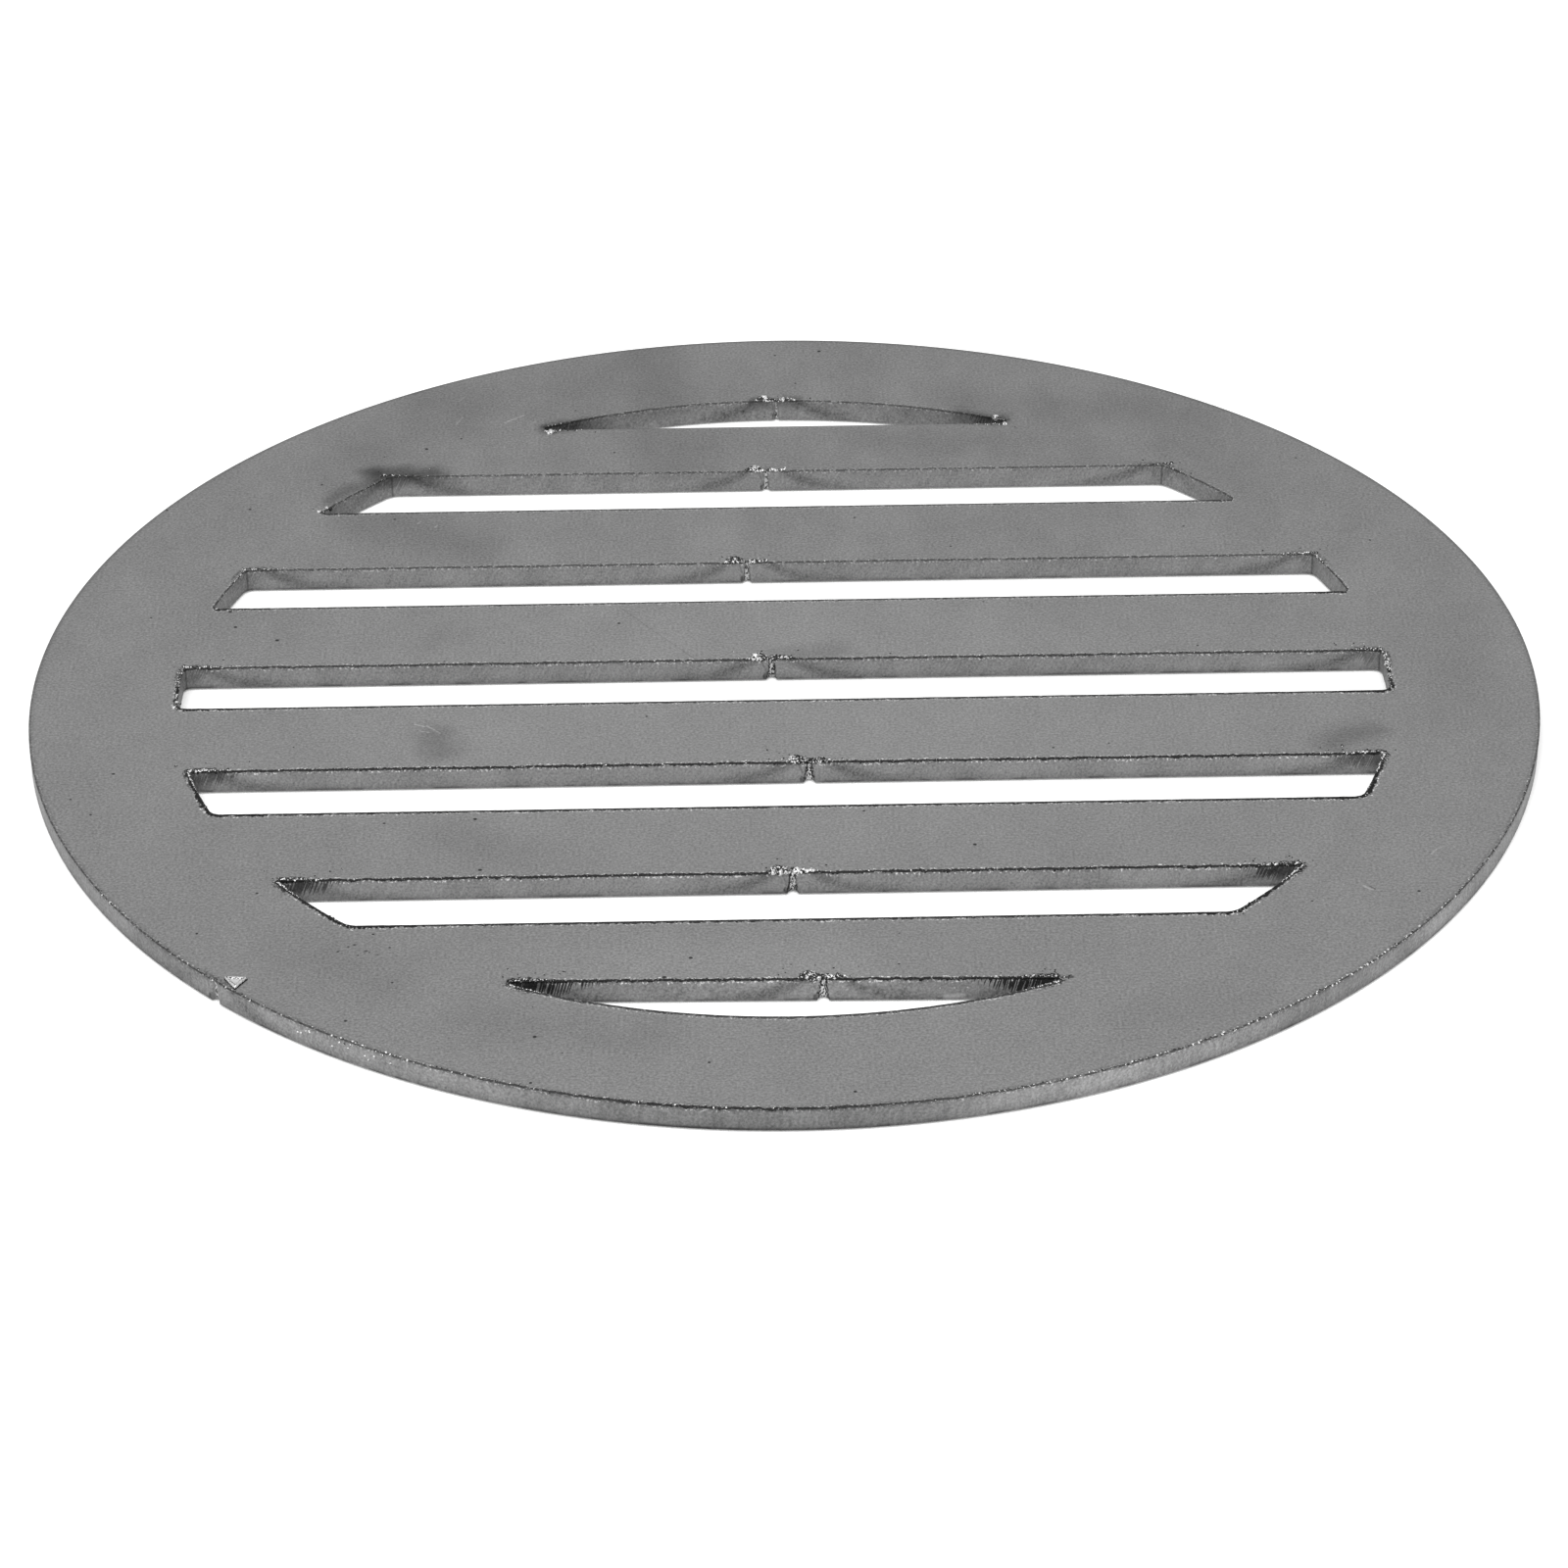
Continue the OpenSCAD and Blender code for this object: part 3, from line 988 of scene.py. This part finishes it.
class SlagPile:
    """A piece made of many separate drops, each a ball pushed out of shape."""

    def __init__(self, seed):
        self.random = np.random.default_rng(seed)
        self.random_bright = np.random.default_rng(seed + 1)
        self.large = ball(3)
        self.small = ball(2)
        self.vertices = []
        self.faces = []
        self.bright = []
        self.count = 0
        # Turn of new drops about the plate's centre, and how bright chance can make them
        self.turn = 0
        self.shine = 1

    def pick(self, low, high):
        return self.random.uniform(low, high)

    def add(self, points, faces, bright):
        self.vertices.append(points)
        self.faces.append(faces + self.count)
        self.bright.append(bright)
        self.count += len(points)

    def drop(self, x, y, radius, height=None, length=1, angle=None, z=PLATE_T, bright=None):
        """One drop, sunk into the face: mostly bright where bright is 1 and mostly black where it is 0, part
        oxide and part painted highlight and shade.
        """
        points, faces = self.large if radius > LARGE_DROP else self.small
        height = height or radius * self.pick(0.65, 1)
        shift = Vector(self.random.uniform(-50, 50, 3))
        swell = np.ones(len(points))
        for depth, waves in DROP_SWELLS:
            swell += [depth * noise.noise(Vector(p) * waves + shift) for p in points]
        shaped = points * swell[:, None]
        turn = self.pick(0, math.pi) if angle is None else angle
        x_axis = np.array([math.cos(turn), math.sin(turn)])
        y_axis = np.array([-math.sin(turn), math.cos(turn)])
        flat = np.outer(shaped[:, 0] * radius * length, x_axis) + np.outer(shaped[:, 1] * radius, y_axis)
        tall = z + 0.1 * height + shaped[:, 2] * height
        by_chance = self.random_bright.uniform(0, 1) * self.shine
        bright = np.full(len(points), by_chance if bright is None else bright)
        self.add(np.column_stack([turned(flat + [x, y], self.turn), tall]), faces, bright)

    def finish(self, name, material):
        piece = new_object(name, np.vstack(self.vertices), np.vstack(self.faces).tolist(), material)
        set_attribute(piece.data, "bright", np.concatenate(self.bright))
        return piece


def make_pierce_slag(material):
    """Slag beside each groove: an arched heap on its left and a lower one on its right."""
    pile = SlagPile(PIERCE_SEED)
    for i, (low, high) in enumerate(OPENINGS):
        pile.turn = TURNS[i]
        x, y = PIERCE_X[i], min(high, INNER_R)
        amount = 0.75 + 0.35 * FAR_LINE[i]
        for step in range(8):
            share = step / 7
            bulge = math.sin(math.pi * share)
            reach = -2.7 + 2.2 * share
            size = (0.24 + 0.22 * bulge) * amount
            drop_y = y + (0.15 + 0.65 * bulge) * amount
            pile.drop(x + reach + pile.pick(-0.1, 0.1), drop_y, size * pile.pick(0.85, 1.15))
            pile.drop(x + reach, y + pile.pick(0, 0.3), 0.7 * size)
        for step in range(6):
            share = step / 5
            size = (0.34 - 0.12 * share) * amount * pile.pick(0.8, 1.2)
            pile.drop(x + 0.5 + 2 * share, y + pile.pick(0.1, 0.5) * amount, size)
        for _ in range(9):
            pile.drop(x + pile.pick(-3.8, 3.4), y + pile.pick(0.1, 1.1), pile.pick(0.08, 0.16))
        for _ in range(round(8 * FAR_LINE[i] ** 2)):
            drop_x = x + pile.pick(-5.5, 5)
            pile.drop(drop_x, y + pile.pick(0.4, 3.2), pile.pick(0.06, 0.13), bright=0.1)
        lump = 0.42 if high > INNER_R else 0.26
        pile.drop(x - 1.7, y + 0.7, lump, length=1.6, angle=0, bright=1.2)
        pile.drop(x - 0.9, y + 0.25, 0.34 * amount, bright=0.1)
        pile.drop(x + 1, y + 0.35, 0.3 * amount, bright=0.6)
    return pile.finish("pierce_slag", material)


def add_far_corner(pile, wall_y, outward, side, amount):
    """Crumbs along both edges of a far corner, which get smaller away from it."""
    tip = tip_x(wall_y, -outward)
    for step in range(20):
        share = step / 19
        reach = tip - 0.1 - 5 * share**1.2
        size = (0.25 - 0.12 * share) * amount * pile.pick(0.55, 1.15)
        away = pile.pick(0.05, 0.5) * (1 - 0.4 * share)
        pile.drop(side * reach, wall_y + outward * away, size, length=pile.pick(1, 1.5))
    for step in range(18):
        angle = math.atan2(wall_y, side * tip) - side * outward * (0.2 + 0.26 * step) / INNER_R
        away = INNER_R + pile.pick(-0.02, 0.14)
        size = (0.17 - 0.005 * step) * amount * pile.pick(0.6, 1.1)
        shine = 0.9 if wall_y < 0 and step % 4 else None
        pile.drop(*polar(away, angle), size, bright=shine)


def add_blunt_corners(pile, low, amount):
    """Black crumbs on the end arcs above a slot's blunt corners."""
    for side, step in product((-1, 1), range(8)):
        angle = math.atan2(low, corner_x(low)) + BLUNT_REACH * (step - 0.5) / 7 / INNER_R
        x, y = polar(INNER_R + pile.pick(0, 0.25), angle)
        size = pile.pick(0.07, 0.17) * amount
        dark = pile.pick(0, 0.35)
        pile.drop(side * x, y, size, bright=dark)


def add_strays(pile, wall_y, outward, count):
    """Small dark drops on the face beside both far corners."""
    for side, _ in product((-1, 1), range(count)):
        reach = tip_x(wall_y, -outward) + pile.pick(-8, 2)
        drop_y = wall_y + outward * pile.pick(0.1, 2.6)
        pile.drop(side * reach, drop_y, pile.pick(0.06, 0.13), bright=0.15)


def add_middle_ends(pile, high):
    """Slag all along the middle slot's end arcs."""
    for side, step in product((-1, 1), range(34)):
        angle = (high - 1.2 - 0.26 * step + pile.pick(-0.1, 0.1)) / INNER_R
        x, y = polar(INNER_R + pile.pick(-0.04, 0.4), angle)
        pile.drop(side * x, y, pile.pick(0.08, 0.24))


def add_edge_drops(pile, high, amount):
    """Small drops along a straight far edge, clear of its corners."""
    x = -corner_x(high) + 5
    while x < corner_x(high) - 5:
        pile.drop(x, high + pile.pick(0.02, 0.2), pile.pick(0.06, 0.13) * amount)
        x += pile.pick(0.8, 5) / amount


def make_corner_slag(material):
    """Slag at the corners of the openings and along their far edges."""
    pile = SlagPile(CORNER_SEED)
    for i, (low, high) in enumerate(OPENINGS):
        at_back = high > INNER_R
        wall_y = low if at_back else high
        outward = -1 if at_back else 1
        amount = 0.4 + 0.6 * FAR_LINE[i]
        pile.shine = 0.5 if abs(high) > 2 * SLOT_PITCH else 1
        pile.turn = TURNS[i]
        if at_back:
            for lump_x, away, radius in BACK_LUMPS:
                pile.drop(lump_x, wall_y + away, radius, bright=0.95)
        for side in (-1, 1):
            add_far_corner(pile, wall_y, outward, side, amount)
        for crumb_x, crumb_y, radius in TIP_CRUMBS[i]:
            pile.drop(crumb_x, crumb_y, radius, bright=0.95)
            # Beside each bright crumb goes a black copy, painted shade for its shaded side
            pile.drop(crumb_x + 0.5, crumb_y - 0.3, radius, bright=0.05)
        if low > -INNER_R and high < SLOT_PITCH:
            add_blunt_corners(pile, low, amount)
        add_strays(pile, wall_y, outward, STRAY_DROPS[i])
        if low < 0 < high:
            add_middle_ends(pile, high)
        if not at_back:
            add_edge_drops(pile, high, amount)
    return pile.finish("corner_slag", material)


def make_rim_beads(material):
    """Beads on the rim's top edge and wall, and the three-cornered flake on its left."""
    pile = SlagPile(RIM_SEED)
    for start, end, pitch, shine in BEAD_STRETCHES:
        angle = math.radians(start)
        while angle < math.radians(end):
            place = polar(PLATE_R - pile.pick(0, 0.3), angle)
            size = pile.pick(0.09, 0.2)
            drop_z = PLATE_T - pile.pick(0, 0.12)
            pile.drop(*place, size, z=drop_z, bright=shine + pile.pick(-0.45, 0.45))
            angle += pile.pick(0.5, 1.5) * pitch / PLATE_R
    for _ in range(16):
        place = polar(PLATE_R, math.radians(pile.pick(-128, -117)))
        pile.drop(*place, 0.13, height=0.13, z=pile.pick(1.3, 2.7), bright=0.9)
    add_flake(pile)
    return pile.finish("rim_beads", material)


def add_flake(pile):
    """A bent three-cornered chip on the rim's edge, with a raised brim round a dished middle, painted bright
    where it faces up and black on its skirt and underside.
    """
    corners = [Vector(corner) for corner in FLAKE_CORNERS]
    middle = sum(corners, Vector((0, 0))) / 3
    points = []
    for shrink, height in FLAKE_RINGS:
        for i, step in product(range(3), range(FLAKE_STEPS)):
            point = corners[i].lerp(corners[(i + 1) % 3], step / FLAKE_STEPS)
            point = middle + (point - middle) * shrink
            bump = 0.05 * noise.noise(Vector((point.x * 2, point.y * 2, height)))
            points.append((point.x, point.y, PLATE_T + height + bump))
    count = 3 * FLAKE_STEPS
    last = len(points) - count
    faces = []
    for first in range(0, last, count):
        for i in range(count):
            a, b = first + i, first + (i + 1) % count
            faces += [(a, b, b + count), (a, b + count, a + count)]
    top, under = len(points), len(points) + 1
    points += [(*middle, PLATE_T + 0.3), (*middle, PLATE_T - 0.1)]
    for i in range(count):
        beside = (i + 1) % count
        faces += [(last + i, last + beside, top), (beside, i, under)]
    bright = np.append(np.repeat(FLAKE_LIGHT_AND_SHADE, count), FLAKE_MIDDLE_LIGHT_AND_SHADE)
    pile.add(np.array(points), np.array(faces), bright)


# ---- Stage ----

CAMERA_PITCH = math.radians(31.42)
CAMERA_ROLL = math.radians(-0.58)
PLATE_TURN = math.radians(0.6445)
CAMERA_AIM = Vector((-0.12, -25.53, PLATE_T))
CAMERA_DISTANCE = 666.04
CAMERA_LENS = 124.37
SENSOR_WIDTH = 36
FLOOR_HALF = 4000
# A little below the plate, so that the two don't share a plane
FLOOR_Z = -0.3
# The softbox. Its azimuth grows from the front to the right; size and distance are in metres.
LIGHT_AZIMUTH = math.radians(-8)
LIGHT_ELEVATION = math.radians(54)
LIGHT_DISTANCE = 1.7
LIGHT_SIZE = 1.5
LIGHT_POWER = 40
WORLD_STRENGTH = 0.55


def make_floor():
    corners = [(x * FLOOR_HALF, y * FLOOR_HALF, FLOOR_Z) for x, y in ((-1, -1), (1, -1), (1, 1), (-1, 1))]
    new_object("floor", corners, [(0, 1, 2, 3)], floor_material())


def make_camera():
    """The camera looks down at the plate, which is turned a little."""
    data = bpy.data.cameras.new("camera")
    data.sensor_width = SENSOR_WIDTH
    data.lens = CAMERA_LENS
    data.clip_start = 0.01
    data.clip_end = 50
    camera = link_new("camera", data)
    forward = Vector((0, math.cos(CAMERA_PITCH), -math.sin(CAMERA_PITCH)))
    up = Vector((0, math.sin(CAMERA_PITCH), math.cos(CAMERA_PITCH)))
    right = Vector((1, 0, 0))
    rolled_right = math.cos(CAMERA_ROLL) * right + math.sin(CAMERA_ROLL) * up
    rolled_up = math.cos(CAMERA_ROLL) * up - math.sin(CAMERA_ROLL) * right
    axes = Matrix((rolled_right, rolled_up, -forward)).transposed().to_4x4()
    place = (CAMERA_AIM - CAMERA_DISTANCE * forward) * MM
    turn = Matrix.Rotation(-PLATE_TURN, 4, "Z")
    camera.matrix_world = turn @ Matrix.Translation(place) @ axes
    bpy.context.scene.camera = camera


def make_lights():
    """A square softbox in front of the plate, and an even pale world."""
    data = bpy.data.lights.new("key_softbox", "AREA")
    data.shape = "SQUARE"
    data.size = LIGHT_SIZE
    data.energy = LIGHT_POWER
    light = link_new("key_softbox", data)
    a, e = LIGHT_AZIMUTH, LIGHT_ELEVATION
    toward = Vector((math.sin(a) * math.cos(e), -math.cos(a) * math.cos(e), math.sin(e)))
    light.location = toward * LIGHT_DISTANCE
    light.rotation_euler = toward.to_track_quat("Z", "Y").to_euler()
    world = bpy.data.worlds.new("studio")
    world.use_nodes = True
    background = world.node_tree.nodes["Background"]
    background.inputs["Color"].default_value = (1, 1, 1, 1)
    background.inputs["Strength"].default_value = WORLD_STRENGTH
    bpy.context.scene.world = world
    bpy.context.scene.view_settings.view_transform = "Standard"


def add_piece(piece, node):
    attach(piece, "root")
    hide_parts(node)


slag = slag_material()
add_piece(make_plate(make_cuts(), steel_material()), "grate_plate")
add_piece(make_pierce_slag(slag), "pierce_dross")
add_piece(make_corner_slag(slag), "corner_dross")
add_piece(make_rim_beads(slag), "rim_spatter")
make_floor()
make_lights()
make_camera()
